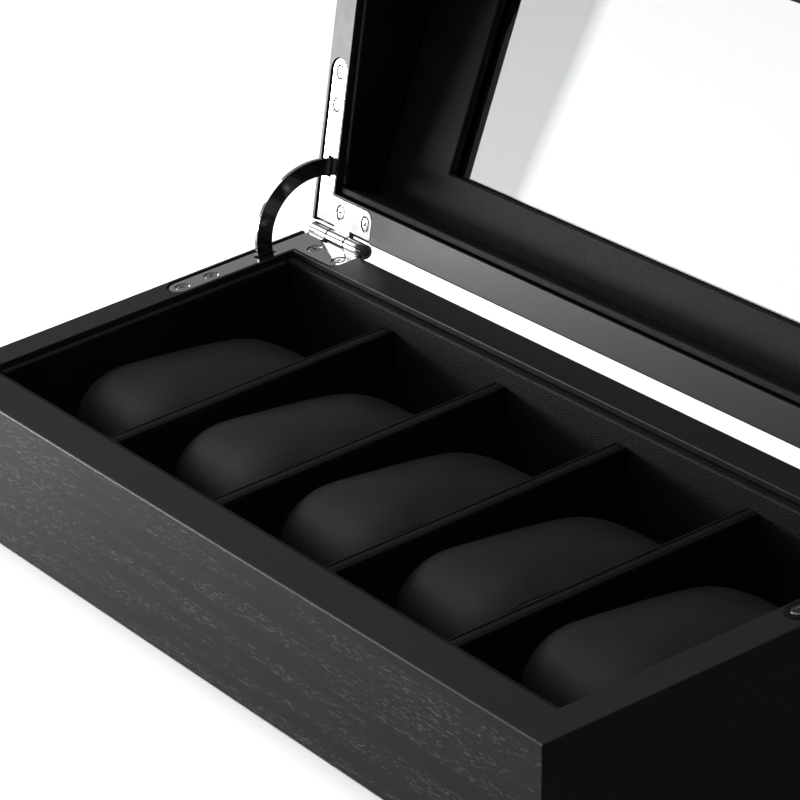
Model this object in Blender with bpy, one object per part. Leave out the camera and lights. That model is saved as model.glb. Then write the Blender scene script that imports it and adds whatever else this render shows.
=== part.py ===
"""Five-place watch box: an oak case cut on a slant, a glazed lid on two stay hinges, and five pillows.

Units in this file are millimetres, turned to metres by MM when a mesh is made.
The box stands on Z = 0 with its front towards -Y, and the origin is the middle of its underside.
The lid is modelled shut and then swung open about the hinge axis by its parent empty.
"""
import math

import bmesh
import bpy
from mathutils import Matrix, Vector

MM = 0.001

# ---- driving dimensions -------------------------------------------------------------------------
WIDTH = 302.4            # outside, left to right
DEPTH = 116.0            # outside, front to back
HEIGHT = 80.4            # outside, lid shut
FRONT_RIM = 38.5         # height of the base at its front face
SLANT = math.radians(11.0)     # the case is cut along a plane that climbs to the back
WALL = 11.0              # front and side walls
BACK_WALL = 9.5
OPEN_ANGLE = 108.8       # degrees that the lid turns from shut to its stop
FIT = 0.3                # gap between pieces that touch
LID_GAP = 0.4            # gap between the two rims with the lid shut
WALL_FOOT = 0.4          # the felt stands this much proud of the walls

LINER = 2.4              # covered boards that line the walls
LINER_DROP = 1.5         # the lining stops this far below the rim
DIVIDER = 5.0
DIVIDER_DROP = 6.5       # the dividers stop this far below the rim
BAYS = 5

FELT_TOP = 1.2
BOTTOM_PANEL = (1.5, 5.5)
FLOOR_LINER = (5.8, 7.0)

TOP_PANEL = 3.4
GLASS = 1.8
FRAME_BOARD = 2.4
WINDOW_SIDE = 44.6       # window edge to the outside of the case, left and right
WINDOW_BACK = 25.7
WINDOW_FRONT = 13.2
GLASS_LAP = 9.0          # the glass runs this far under the window's edge at the sides and back
GLASS_LAP_FRONT = 1.8    # and this far at the front, where the rail stops it

PILLOW_LENGTH = 72.5
PILLOW_WIDTH = 47.0
PILLOW_HEIGHT = 34.6
PILLOW_BACK_GAP = 1.3
PILLOW_SQUARENESS = 2.6  # exponent of the pillow's outline

# hinge, measured along the rim from the back edge and inwards from the outer side
LEAF_THICK = 1.6
LEAF_OUTER = 3.0
LEAF_INNER = 10.0
LEAF_LONG = 47.3
LEAF_SHORT = 31.6
LEAF_BACK = 1.0
LEAF_SHORT_WIDTH = 8.8
POCKET_SIDE = 1.6        # open strip beside the leaf, on its outer side
AXIS_BEHIND = 2.5        # hinge axis behind the back edge
KNUCKLE_RADIUS = 2.1
BORE_RADIUS = 1.2
PIN_RADIUS = 0.9
BARREL = (2.6, 31.0)
TAB_HOLD = 0.5           # each tab is this much narrower than its knuckle, at either end
STAY_MIDDLE = 6.7
STAY_THICK = 1.6
STAY_RADII = (16.5, 21.5)
STAY_ENGAGED = 3.0       # degrees of stay inside each leaf with the lid open
STAY_RATIO = 0.55        # the stay turns this much for each degree of the lid
SLOT_SIDE = 0.5          # play beside the stay
SCREW_SPOTS = ((6.7, 43.6), (6.7, 34.2), (15.1, 5.0), (28.5, 5.0))
SCREW_HEAD = 2.0
SCREW_SHANK = 0.9
SCREW_LENGTH = 8.5
ROUND_SIDES = 16

# ---- values worked out from them ----------------------------------------------------------------
HALF_W = WIDTH / 2
HALF_D = DEPTH / 2
LINER_FACE = FIT + LINER                      # inner face of a lining, from the wall
TOP_UNDERSIDE = HEIGHT - TOP_PANEL
GLASS_BOTTOM = TOP_UNDERSIDE - FIT - GLASS
FRAME_BOTTOM = GLASS_BOTTOM - FIT - FRAME_BOARD
INNER_X = HALF_W - WALL - LINER_FACE
INNER_FRONT = -HALF_D + WALL + LINER_FACE
INNER_BACK = HALF_D - BACK_WALL - LINER_FACE
BAY_WIDTH = (2 * INNER_X - (BAYS - 1) * DIVIDER) / BAYS
PITCH = BAY_WIDTH + DIVIDER
UP_RIM = Vector((0, math.cos(SLANT), math.sin(SLANT)))       # along the rim, to the back
OUT_RIM = Vector((0, -math.sin(SLANT), math.cos(SLANT)))     # square to the rim


def rim_z(y, offset=0.0):
    """Height of the cut plane above y, moved by an offset square to the plane."""
    return FRONT_RIM + (y + HALF_D) * math.tan(SLANT) + offset / math.cos(SLANT)


def rim_point(side, inward, along, out):
    """A point given from the outer back corner of one side: inward, along the rim, square to it."""
    corner = Vector((side * HALF_W, HALF_D, rim_z(HALF_D)))
    return corner + Vector((-side * inward, 0, 0)) - along * UP_RIM + out * OUT_RIM


AXIS = rim_point(0, 0, -AXIS_BEHIND, LID_GAP / 2)
RIM_ANGLE = 180 + math.degrees(SLANT)         # direction of the rim from the axis, in the YZ plane


# ---- scene helpers ------------------------------------------------------------------------------
def clear_scene():
    for obj in list(bpy.data.objects):
        bpy.data.objects.remove(obj, do_unlink=True)


def make_material(name, colour, roughness, metallic=0.0, transmission=0.0):
    material = bpy.data.materials.new(name)
    material.use_nodes = True
    shader = material.node_tree.nodes["Principled BSDF"]
    shader.inputs["Base Color"].default_value = (*colour, 1.0)
    shader.inputs["Roughness"].default_value = roughness
    shader.inputs["Metallic"].default_value = metallic
    shader.inputs["Transmission Weight"].default_value = transmission
    material.diffuse_color = (*colour, 1.0)
    return material


def make_empty(name, place, turn=0.0):
    empty = bpy.data.objects.new(name, None)
    bpy.context.collection.objects.link(empty)
    empty.location = Vector(place) * MM
    empty.rotation_euler = (turn, 0, 0)
    return empty


def add_object(name, bm, material, parent=None, cutter=False):
    """Link a mesh built in box millimetres, with its origin on the parent's."""
    bmesh.ops.recalc_face_normals(bm, faces=bm.faces)
    origin = Vector(parent["place"]) if parent else Vector((0, 0, 0))
    bmesh.ops.translate(bm, verts=bm.verts, vec=-origin)
    bmesh.ops.scale(bm, verts=bm.verts, vec=(MM, MM, MM))
    mesh = bpy.data.meshes.new(name)
    bm.to_mesh(mesh)
    bm.free()
    obj = bpy.data.objects.new(name, mesh)
    bpy.context.collection.objects.link(obj)
    if parent:
        obj.parent = parent
    if material:
        mesh.materials.append(material)
    if cutter:
        obj.hide_render = True
        obj.display_type = "WIRE"
    return obj


def cut(obj, cutter, operation="DIFFERENCE"):
    modifier = obj.modifiers.new(operation.title(), "BOOLEAN")
    modifier.operation = operation
    modifier.solver = "EXACT"
    modifier.object = cutter


def add_prism(bm, lower, upper):
    """A closed solid between two outlines with the same number of points."""
    low = [bm.verts.new(p) for p in lower]
    high = [bm.verts.new(p) for p in upper]
    count = len(low)
    bm.faces.new(list(reversed(low)))
    bm.faces.new(high)
    for i in range(count):
        j = (i + 1) % count
        bm.faces.new((low[i], low[j], high[j], high[i]))


def prism(lower, upper):
    bm = bmesh.new()
    add_prism(bm, lower, upper)
    return bm


def plan_block(plan, bottom, top):
    """A block on a plan outline, between two heights that may follow y."""
    return prism([(x, y, bottom(y)) for x, y in plan], [(x, y, top(y)) for x, y in plan])


def box_mesh(low, high):
    plan = [(low[0], low[1]), (high[0], low[1]), (high[0], high[1]), (low[0], high[1])]
    return plan_block(plan, lambda y: low[2], lambda y: high[2])


def shade_round(obj, degrees=35):
    obj.data.shade_smooth()
    obj.data.set_sharp_from_angle(angle=math.radians(degrees))


# ---- case walls ---------------------------------------------------------------------------------
def wall_plans():
    """Plans of the four mitred walls, each held back from the mitre by half a fit."""
    hold = 0.22
    outer_x, inner_x = HALF_W, HALF_W - WALL
    front, inner_front = -HALF_D, -HALF_D + WALL
    back, inner_back = HALF_D, HALF_D - BACK_WALL
    plans = {
        "front": [(-outer_x + hold, front), (outer_x - hold, front),
                  (inner_x - hold, inner_front), (-inner_x + hold, inner_front)],
        "back": [(outer_x - hold, back), (-outer_x + hold, back),
                 (-inner_x + hold, inner_back), (inner_x - hold, inner_back)],
    }
    for name, side in (("left", -1), ("right", 1)):
        plans[name] = [(side * outer_x, front + hold), (side * outer_x, back - hold),
                       (side * inner_x, inner_back - hold), (side * inner_x, inner_front + hold)]
    return plans


def build_walls(oak, lid):
    walls = {}
    for name, plan in wall_plans().items():
        bm = plan_block(plan, lambda y: WALL_FOOT, rim_z)
        walls["base", name] = add_object(f"base_{name}_wall", bm, oak)
        bm = plan_block(plan, lambda y: rim_z(y, LID_GAP), lambda y: TOP_UNDERSIDE - FIT)
        walls["lid", name] = add_object(f"lid_{name}_rail", bm, oak, lid)
    return walls


def build_bottom(oak, felt, leather):
    reach_x = HALF_W - WALL - FIT
    front = -HALF_D + WALL + FIT
    back = HALF_D - BACK_WALL - FIT
    layers = (("base_felt_pad", 0.0, FELT_TOP, felt),
              ("base_bottom_panel", *BOTTOM_PANEL, oak),
              ("floor_liner", *FLOOR_LINER, leather))
    for name, low, high, material in layers:
        add_object(name, box_mesh((-reach_x, front, low), (reach_x, back, high)), material)


def liner_plans():
    """Plans of the four lining boards: the long ones run through, the short ones fit between."""
    outer_x = HALF_W - WALL - FIT
    front = -HALF_D + WALL + FIT
    back = HALF_D - BACK_WALL - FIT
    long_boards = {"front": (front, front + LINER), "back": (back - LINER, back)}
    plans = {}
    for name, (low, high) in long_boards.items():
        plans[name] = [(-outer_x, low), (outer_x, low), (outer_x, high), (-outer_x, high)]
    for name, side in (("left", -1), ("right", 1)):
        low, high = front + LINER + FIT, back - LINER - FIT
        xs = sorted((side * outer_x, side * (outer_x - LINER)))
        plans[name] = [(xs[0], low), (xs[1], low), (xs[1], high), (xs[0], high)]
    return plans


def build_liners(leather, lid):
    for name, plan in liner_plans().items():
        bm = plan_block(plan, lambda y: FLOOR_LINER[1] + FIT, lambda y: rim_z(y, -LINER_DROP))
        add_object(f"base_liner_{name}", bm, leather)
        bm = plan_block(plan, lambda y: rim_z(y, LID_GAP + LINER_DROP), lambda y: FRAME_BOTTOM - FIT)
        add_object(f"lid_liner_{name}", bm, leather, lid)


def build_dividers(leather):
    for i in range(1, BAYS):
        left = -INNER_X + i * PITCH - DIVIDER
        plan = [(left, INNER_FRONT + FIT), (left + DIVIDER, INNER_FRONT + FIT),
                (left + DIVIDER, INNER_BACK - FIT), (left, INNER_BACK - FIT)]
        bm = plan_block(plan, lambda y: FLOOR_LINER[1] + FIT, lambda y: rim_z(y, -DIVIDER_DROP))
        add_object(f"divider_{i}", bm, leather)


def pillow_outline(steps=28):
    """Side view of a pillow, a squared ellipse, as (y, z) about its middle."""
    power = 2 / PILLOW_SQUARENESS
    points = []
    for i in range(steps):
        turn = 2 * math.pi * i / steps
        c, s = math.cos(turn), math.sin(turn)
        y = math.copysign(abs(c) ** power, c) * PILLOW_LENGTH / 2
        z = math.copysign(abs(s) ** power, s) * PILLOW_HEIGHT / 2
        points.append((y, z))
    return points


def build_pillows(leather):
    middle_y = INNER_BACK - PILLOW_BACK_GAP - PILLOW_LENGTH / 2
    middle_z = FLOOR_LINER[1] + FIT + PILLOW_HEIGHT / 2
    edge = 3.0           # the sides draw in by this much at their rim
    for i in range(BAYS):
        middle_x = -INNER_X + BAY_WIDTH / 2 + i * PITCH
        place = make_empty(f"cushion_{i + 1}_seat", (middle_x, middle_y, middle_z))
        place["place"] = (middle_x, middle_y, middle_z)
        bm = bmesh.new()
        rings = []
        half = PILLOW_WIDTH / 2
        slim_y = 1 - 2 * edge / PILLOW_LENGTH
        slim_z = 1 - 2 * edge / PILLOW_HEIGHT
        for x, ky, kz in ((-half, slim_y, slim_z), (-half + edge, 1, 1), (half - edge, 1, 1), (half, slim_y, slim_z)):
            ring = [bm.verts.new((middle_x + x, middle_y + y * ky, middle_z + z * kz))
                    for y, z in pillow_outline()]
            rings.append(ring)
        for a, b in zip(rings, rings[1:]):
            for k in range(len(a)):
                n = (k + 1) % len(a)
                bm.faces.new((a[k], a[n], b[n], b[k]))
        bm.faces.new(rings[0])
        bm.faces.new(list(reversed(rings[-1])))
        shade_round(add_object(f"cushion_{i + 1}", bm, leather, place))


# ---- lid top ------------------------------------------------------------------------------------
def ring_mesh(outer, inner, bottom, top):
    """A flat board with a rectangular window; outer and inner are (x0, y0, x1, y1)."""
    bm = bmesh.new()
    levels = []
    for rect in (outer, inner):
        x0, y0, x1, y1 = rect
        corners = [(x0, y0), (x1, y0), (x1, y1), (x0, y1)]
        for z in (bottom, top):
            levels.append([bm.verts.new((x, y, z)) for x, y in corners])
    out_low, out_high, in_low, in_high = levels
    for i in range(4):
        j = (i + 1) % 4
        bm.faces.new((out_low[i], out_low[j], out_high[j], out_high[i]))
        bm.faces.new((in_low[j], in_low[i], in_high[i], in_high[j]))
        bm.faces.new((out_high[i], out_high[j], in_high[j], in_high[i]))
        bm.faces.new((out_low[j], out_low[i], in_low[i], in_low[j]))
    return bm


def build_lid_top(oak, leather, glass, lid):
    window = (-HALF_W + WINDOW_SIDE, -HALF_D + WINDOW_FRONT, HALF_W - WINDOW_SIDE, HALF_D - WINDOW_BACK)
    outside = (-HALF_W, -HALF_D, HALF_W, HALF_D)
    inside = (-HALF_W + WALL + FIT, -HALF_D + WALL + FIT, HALF_W - WALL - FIT, HALF_D - BACK_WALL - FIT)
    add_object("lid_top_panel", ring_mesh(outside, window, TOP_UNDERSIDE, HEIGHT), oak, lid)
    add_object("lid_window_frame", ring_mesh(inside, window, FRAME_BOTTOM, FRAME_BOTTOM + FRAME_BOARD),
               leather, lid)
    low = (window[0] - GLASS_LAP, window[1] - GLASS_LAP_FRONT, GLASS_BOTTOM)
    high = (window[2] + GLASS_LAP, window[3] + GLASS_LAP, GLASS_BOTTOM + GLASS)
    add_object("glass_pane", box_mesh(low, high), glass, lid)


# ---- hinges -------------------------------------------------------------------------------------
def arc(centre, radius, start, end, steps):
    """Points on an arc in the plan of a leaf, as (inward, along)."""
    points = []
    for i in range(steps + 1):
        turn = math.radians(start + (end - start) * i / steps)
        points.append((centre[0] + radius * math.cos(turn), centre[1] + radius * math.sin(turn)))
    return points


def leaf_plan(grow_outer=0.0, grow=0.0, back=LEAF_BACK, tabs=()):
    """L-shaped plan of a leaf with round ends, grown on all sides for its pocket, tabs to the barrel."""
    x0 = LEAF_OUTER - grow_outer
    x1 = LEAF_INNER + grow
    tip = LEAF_LONG + grow
    short_tip = LEAF_SHORT + grow
    short_edge = LEAF_SHORT_WIDTH + grow
    radius = (x1 - x0) / 2
    corner = 3.0
    plan = [(x0, back)]
    plan += arc(((x0 + x1) / 2, tip - radius), radius, 180, 0, 8)
    plan += [(x1, short_edge)]
    plan += arc((short_tip - corner, short_edge - corner), corner, 90, 0, 4)
    plan += [(short_tip, back)]
    for start, end in reversed(tabs):
        plan += [(end - TAB_HOLD, back), (end - TAB_HOLD, -AXIS_BEHIND)]
        plan += [(start + TAB_HOLD, -AXIS_BEHIND), (start + TAB_HOLD, back)]
    return plan


def side_map(side, in_lid):
    """Turn a leaf's own (inward, along, out) into box millimetres; the lid's is its mirror."""
    def place(inward, along, out):
        return rim_point(side, inward, along, LID_GAP - out if in_lid else out)
    return place


def slab(place, plan, low, high):
    return prism([place(x, s, low) for x, s in plan], [place(x, s, high) for x, s in plan])


def rectangle(x0, x1, s0, s1):
    return [(x0, s0), (x1, s0), (x1, s1), (x0, s1)]


def barrel_mesh(side, spans, radius, sides=ROUND_SIDES):
    """Cylinders along the hinge axis, one for each (inward start, inward end)."""
    bm = bmesh.new()
    for start, end in spans:
        ends = []
        for inward in (start, end):
            x = side * (HALF_W - inward)
            ends.append([Vector((x, AXIS.y + radius * math.cos(2 * math.pi * k / sides),
                                 AXIS.z + radius * math.sin(2 * math.pi * k / sides)))
                         for k in range(sides)])
        add_prism(bm, *ends)
    return bm


def knuckle_spans():
    """The barrel in three equal knuckles: the outer two are the base's, the middle one the lid's."""
    start, end = BARREL
    length = (end - start - 2 * FIT) / 3
    spans = [(start + i * (length + FIT), start + i * (length + FIT) + length) for i in range(3)]
    return {"base": [spans[0], spans[2]], "lid": [spans[1]]}


def sector_mesh(side, inner, outer, start, end, half_thick, steps=14):
    """A curved bar about the hinge axis, between two angles in the YZ plane."""
    bm = bmesh.new()
    middle = side * (HALF_W - STAY_MIDDLE)
    outline = []
    for radius, order in ((outer, range(steps + 1)), (inner, range(steps, -1, -1))):
        for i in order:
            turn = math.radians(start + (end - start) * i / steps)
            outline.append((AXIS.y + radius * math.cos(turn), AXIS.z + radius * math.sin(turn)))
    columns = []
    for x in (middle - half_thick, middle + half_thick):
        columns.append([bm.verts.new((x, y, z)) for y, z in outline])
    count = len(outline)
    for i in range(count):
        j = (i + 1) % count
        bm.faces.new((columns[0][i], columns[0][j], columns[1][j], columns[1][i]))
    for i in range(steps):
        a, b, c, d = i, i + 1, count - 2 - i, count - 1 - i
        bm.faces.new([columns[0][k] for k in (a, b, c, d)])
        bm.faces.new([columns[1][k] for k in (d, c, b, a)])
    return bm


def turned(bm, place, spot, profile, sides=12):
    """A solid turned about a line square to the rim; profile is (radius, out) from end to end."""
    rings = []
    for radius, out in profile:
        ring = []
        for k in range(sides):
            turn = 2 * math.pi * k / sides
            ring.append(bm.verts.new(place(spot[0] + radius * math.cos(turn),
                                           spot[1] + radius * math.sin(turn), out)))
        rings.append(ring)
    for a, b in zip(rings, rings[1:]):
        for k in range(sides):
            n = (k + 1) % sides
            bm.faces.new((a[k], a[n], b[n], b[k]))
    bm.faces.new(rings[0])
    bm.faces.new(list(reversed(rings[-1])))


def screws_mesh(place, spots, grow=0.0, top=-0.05):
    """Countersunk screws at the given spots, or with grow the holes that take them."""
    neck = -1.3
    profile = [(SCREW_HEAD + grow, top), (SCREW_SHANK + grow, neck), (SCREW_SHANK + grow, -SCREW_LENGTH - grow)]
    bm = bmesh.new()
    for spot in spots:
        turned(bm, place, spot, profile)
    return bm


def build_hinge(side, name, chrome, steel, walls, lid):
    spans = knuckle_spans()
    slot_half = STAY_THICK / 2 + SLOT_SIDE
    inner, outer = STAY_RADII
    reach = RIM_ANGLE - OPEN_ANGLE
    travel = OPEN_ANGLE * STAY_RATIO
    shut_span = (reach - STAY_ENGAGED + travel, RIM_ANGLE + STAY_ENGAGED + travel)
    bore = barrel_mesh(side, [(BARREL[0] - 1, BARREL[1] + 1)], BORE_RADIUS, 12)
    for half, parent in (("base", None), ("lid", lid)):
        place = side_map(side, half == "lid")
        leaf_bm = slab(place, leaf_plan(tabs=spans[half]), -LEAF_THICK, 0)
        leaf = add_object(f"{name}_hinge_{half}_leaf", leaf_bm, chrome, parent)
        barrel = barrel_mesh(side, spans[half], KNUCKLE_RADIUS)
        cut(leaf, add_object(f"{name}_{half}_barrel_guide", barrel, None, parent, cutter=True), "UNION")
        cut(leaf, add_object(f"{name}_{half}_bore", bore.copy(), None, parent, cutter=True))
        slot_plan = rectangle(STAY_MIDDLE - slot_half, STAY_MIDDLE + slot_half,
                              inner - AXIS_BEHIND - 0.6, outer - AXIS_BEHIND + 0.6)
        slot = slab(place, slot_plan, -LEAF_THICK - 1, 1)
        cut(leaf, add_object(f"{name}_{half}_leaf_slot", slot, None, parent, cutter=True))
        holes = screws_mesh(place, SCREW_SPOTS, FIT, 0.2)
        holes = add_object(f"{name}_{half}_screw_holes", holes, None, parent, cutter=True)
        cut(leaf, holes)
        shade_round(leaf)
        pocket_plan = leaf_plan(POCKET_SIDE, FIT, -3)
        pocket = slab(place, pocket_plan, -LEAF_THICK - FIT, 1.5)
        pocket = add_object(f"{name}_{half}_pocket", pocket, None, parent, cutter=True)
        if half == "base":
            span = (RIM_ANGLE - 5, shut_span[1] + 1.7)
        else:
            span = (shut_span[0] - 1.5, RIM_ANGLE + 5)
        sector = sector_mesh(side, inner - 0.6, outer + 0.6, *span, slot_half)
        sector = add_object(f"{name}_{half}_stay_slot", sector, None, parent, cutter=True)
        for wall in (walls[half, name], walls[half, "back"]):
            cut(wall, pocket)
            cut(wall, holes)
            cut(wall, sector)
        for number, spot in enumerate(SCREW_SPOTS, 1):
            screw = screws_mesh(place, [spot])
            shade_round(add_object(f"{name}_{half}_screw_{number}", screw, steel, parent))
    bore.free()
    pin = barrel_mesh(side, [(BARREL[0] + 0.2, BARREL[1] - 0.2)], PIN_RADIUS, 12)
    shade_round(add_object(f"{name}_hinge_pin", pin, steel))
    pivot = make_empty(f"{name}_stay_pivot", AXIS)
    pivot["place"] = tuple(AXIS)
    stay = sector_mesh(side, inner, outer, reach - STAY_ENGAGED, RIM_ANGLE + STAY_ENGAGED, STAY_THICK / 2, 20)
    shade_round(add_object(f"{name}_stay_arm", stay, chrome, pivot))


def main():
    clear_scene()
    oak = make_material("black_stained_oak", (0.02, 0.02, 0.02), 0.42)
    leather = make_material("black_leather", (0.012, 0.012, 0.012), 0.55)
    felt = make_material("black_felt", (0.01, 0.01, 0.01), 0.95)
    glass = make_material("clear_glass", (0.95, 0.97, 0.96), 0.02, transmission=1.0)
    chrome = make_material("polished_nickel", (0.72, 0.72, 0.72), 0.08, metallic=1.0)
    steel = make_material("screw_steel", (0.6, 0.6, 0.6), 0.2, metallic=1.0)
    lid = make_empty("lid_hinge", AXIS, -math.radians(OPEN_ANGLE))
    lid["place"] = tuple(AXIS)
    walls = build_walls(oak, lid)
    build_bottom(oak, felt, leather)
    build_liners(leather, lid)
    build_dividers(leather)
    build_pillows(leather)
    build_lid_top(oak, leather, glass, lid)
    for side, name in ((-1, "left"), (1, "right")):
        build_hinge(side, name, chrome, steel, walls, lid)


main()
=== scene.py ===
import math

import bmesh
import bpy
from mathutils import Matrix, Vector


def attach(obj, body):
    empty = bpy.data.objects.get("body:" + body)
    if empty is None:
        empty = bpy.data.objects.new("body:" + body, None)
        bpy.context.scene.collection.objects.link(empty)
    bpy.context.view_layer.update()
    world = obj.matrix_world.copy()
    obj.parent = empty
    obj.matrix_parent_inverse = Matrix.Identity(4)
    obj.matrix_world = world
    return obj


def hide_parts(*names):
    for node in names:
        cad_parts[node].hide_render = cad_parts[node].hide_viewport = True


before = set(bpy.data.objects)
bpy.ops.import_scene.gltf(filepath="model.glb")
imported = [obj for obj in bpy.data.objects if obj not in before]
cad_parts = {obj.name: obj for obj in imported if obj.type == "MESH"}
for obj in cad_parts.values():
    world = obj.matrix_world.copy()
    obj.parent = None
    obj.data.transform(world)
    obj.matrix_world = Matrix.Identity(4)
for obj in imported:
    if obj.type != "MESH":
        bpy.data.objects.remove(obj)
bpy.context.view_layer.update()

# Sizes are millimetres, as on the drawing. MM turns them to metres when a mesh is made.
MM = 0.001
WIDTH, DEPTH, HEIGHT = 302.4, 116.0, 80.4
HALF_W, HALF_D = WIDTH / 2, DEPTH / 2
FRONT_RIM = 38.5
SLANT = math.radians(11.0)
WALL, BACK_WALL, WALL_FOOT = 11.0, 9.5, 0.4
OPEN_ANGLE = math.radians(108.8)
FIT, LID_GAP = 0.3, 0.4
LINER, LINER_DROP = 2.4, 1.5
DIVIDER, DIVIDER_DROP, BAYS = 5.0, 6.5, 5
FLOOR_TOP = 7.0
TOP_PANEL, GLASS, FRAME_BOARD = 3.4, 1.8, 2.4
WINDOW_SIDE, WINDOW_BACK, WINDOW_FRONT = 44.6, 25.7, 13.2
LEAF_THICK, LEAF_OUTER, LEAF_INNER = 1.6, 3.0, 10.0
LEAF_LONG, LEAF_SHORT, LEAF_BACK, LEAF_SHORT_WIDTH = 47.3, 31.6, 1.0, 8.8
POCKET_SIDE = 1.6
AXIS_BEHIND, KNUCKLE_RADIUS, PIN_RADIUS = 2.5, 2.1, 0.9
BARREL, TAB_HOLD = (2.6, 31.0), 0.5
STAY_MIDDLE, STAY_THICK, STAY_RADII = 6.7, 1.6, (16.5, 21.5)
STAY_ENGAGED, STAY_RATIO, SLOT_SIDE = 3.0, 0.55, 0.5
SCREW_SPOTS = ((6.7, 43.6), (6.7, 34.2), (15.1, 5.0), (28.5, 5.0))
SCREW_HEAD, SCREW_SHANK, SCREW_LENGTH, SCREW_SIDES = 2.0, 0.9, 8.5, 28
HEAD_RING = 0.3             # open ring round each screw head
CROSS_LONG, CROSS_WIDE = 1.15, 0.26

TOP_UNDERSIDE = HEIGHT - TOP_PANEL
FRAME_TOP = TOP_UNDERSIDE - FIT - GLASS - FIT
FRAME_BOTTOM = FRAME_TOP - FRAME_BOARD
LINER_FACE = FIT + LINER
INNER_X = HALF_W - WALL - LINER_FACE
INNER_FRONT = -HALF_D + WALL + LINER_FACE
INNER_BACK = HALF_D - BACK_WALL - LINER_FACE
BAY_WIDTH = (2 * INNER_X - (BAYS - 1) * DIVIDER) / BAYS
PITCH = BAY_WIDTH + DIVIDER
UP_RIM = Vector((0, math.cos(SLANT), math.sin(SLANT)))
OUT_RIM = Vector((0, -math.sin(SLANT), math.cos(SLANT)))


def rim_z(y, offset=0.0):
    """Height of the slanted cut above y, moved square to it by an offset."""
    return FRONT_RIM + (y + HALF_D) * math.tan(SLANT) + offset / math.cos(SLANT)


def rim_point(side, inward, along, out):
    """A point from one side's outer back corner: inward, along the rim to the front, square to it."""
    corner = Vector((side * HALF_W, HALF_D, rim_z(HALF_D)))
    return corner + Vector((-side * inward, 0, 0)) - along * UP_RIM + out * OUT_RIM


AXIS = rim_point(0, 0, -AXIS_BEHIND, LID_GAP / 2)
RIM_ANGLE = math.pi + SLANT
# Lid pieces are drawn shut, and this swings them open about the hinge pins.
SWING = (Matrix.Translation(AXIS * MM) @ Matrix.Rotation(-OPEN_ANGLE, 4, "X")
         @ Matrix.Translation(-AXIS * MM))


# ---- finishes -----------------------------------------------------------------------------------
def srgb(code):
    """A hex colour as linear red, green, blue and alpha."""
    channels = [int(code[i:i + 2], 16) / 255 for i in (0, 2, 4)]
    linear = [c / 12.92 if c <= 0.04045 else ((c + 0.055) / 1.055) ** 2.4 for c in channels]
    return (*linear, 1.0)


def per(size_mm):
    """The scale that makes one cell of a pattern this many millimetres long."""
    return 1 / (size_mm * MM)


def add(tree, kind, inputs=(), **settings):
    """Add one node, set it, and fill its inputs with values or with other nodes' outputs."""
    node = tree.nodes.new("ShaderNode" + kind)
    for key, value in settings.items():
        setattr(node, key, value)
    for key, value in dict(inputs).items():
        if isinstance(value, bpy.types.NodeSocket):
            tree.links.new(value, node.inputs[key])
        else:
            node.inputs[key].default_value = value
    return node


def new_finish(name, **sockets):
    """A material with its Principled shader set, and the tree and shader to work on."""
    material = bpy.data.materials.new(name)
    material.use_nodes = True
    tree = material.node_tree
    shader = tree.nodes["Principled BSDF"]
    for key, value in sockets.items():
        shader.inputs[key.replace("_", " ")].default_value = value
    return material, tree, shader


def make_oak(name, stretch, glint_colour, pore_mm):
    """Black-stained oak veneer under satin lacquer, evenly stained. The open pores stay as short dashes
    along the grain, about 2.5 mm long and 0.3 mm wide, cut as shallow grooves, and their glints are a
    painted highlight of lighter dashes in the base colour. Stretch puts the grain along the piece, and the
    painted glint colour and the pores' depth set their show."""
    material, tree, shader = new_finish(name, Roughness=0.42, IOR=1.5)
    place = add(tree, "TexCoord").outputs["Object"]
    pores = add(tree, "Mapping", {"Vector": place, "Scale": stretch(per(2.5), per(0.303))})
    dash = add(tree, "TexNoise", {"Vector": pores.outputs[0], "Scale": 1.0, "Detail": 1.5,
                                  "Roughness": 0.45})
    dash_edge = add(tree, "MapRange", {"Value": dash.outputs["Fac"], "From Min": 0.61, "From Max": 0.70})
    rays = add(tree, "Mapping", {"Vector": place, "Scale": stretch(per(71.4), per(3.85))})
    figure = add(tree, "TexNoise", {"Vector": rays.outputs[0], "Scale": 1.0, "Detail": 3.0})
    patch = add(tree, "MapRange", {"Value": figure.outputs["Fac"], "From Min": 0.42, "From Max": 0.56})
    # Painted highlight: the pore mask lightens the base colour in dashes to stand for the pores' glints,
    # and also cuts them as grooves.
    pore_and_glint_mask = add(tree, "Math", {0: dash_edge.outputs[0], 1: patch.outputs[0]}, operation="MULTIPLY")
    stain_and_glints = add(tree, "Mix", {"Factor": pore_and_glint_mask.outputs[0], "A": srgb("0d0d0d"), "B": srgb(glint_colour)},
                data_type="RGBA")
    tree.links.new(stain_and_glints.outputs["Result"], shader.inputs["Base Color"])
    sheen = add(tree, "MapRange", {"Value": figure.outputs["Fac"], "From Min": 0.3, "From Max": 0.7,
                                   "To Min": 0.38, "To Max": 0.5})
    tree.links.new(sheen.outputs[0], shader.inputs["Roughness"])
    fine = add(tree, "Mapping", {"Vector": place, "Scale": stretch(per(11.1), per(0.385))})
    line = add(tree, "TexNoise", {"Vector": fine.outputs[0], "Scale": 1.0, "Detail": 2.0})
    grooves = add(tree, "Bump", {"Height": line.outputs["Fac"], "Strength": 0.35, "Distance": 0.00003})
    relief = add(tree, "Bump", {"Height": pore_and_glint_mask.outputs[0], "Strength": 0.7, "Distance": pore_mm * MM,
                                "Normal": grooves.outputs[0]})
    tree.links.new(relief.outputs[0], shader.inputs["Normal"])
    return material


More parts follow.
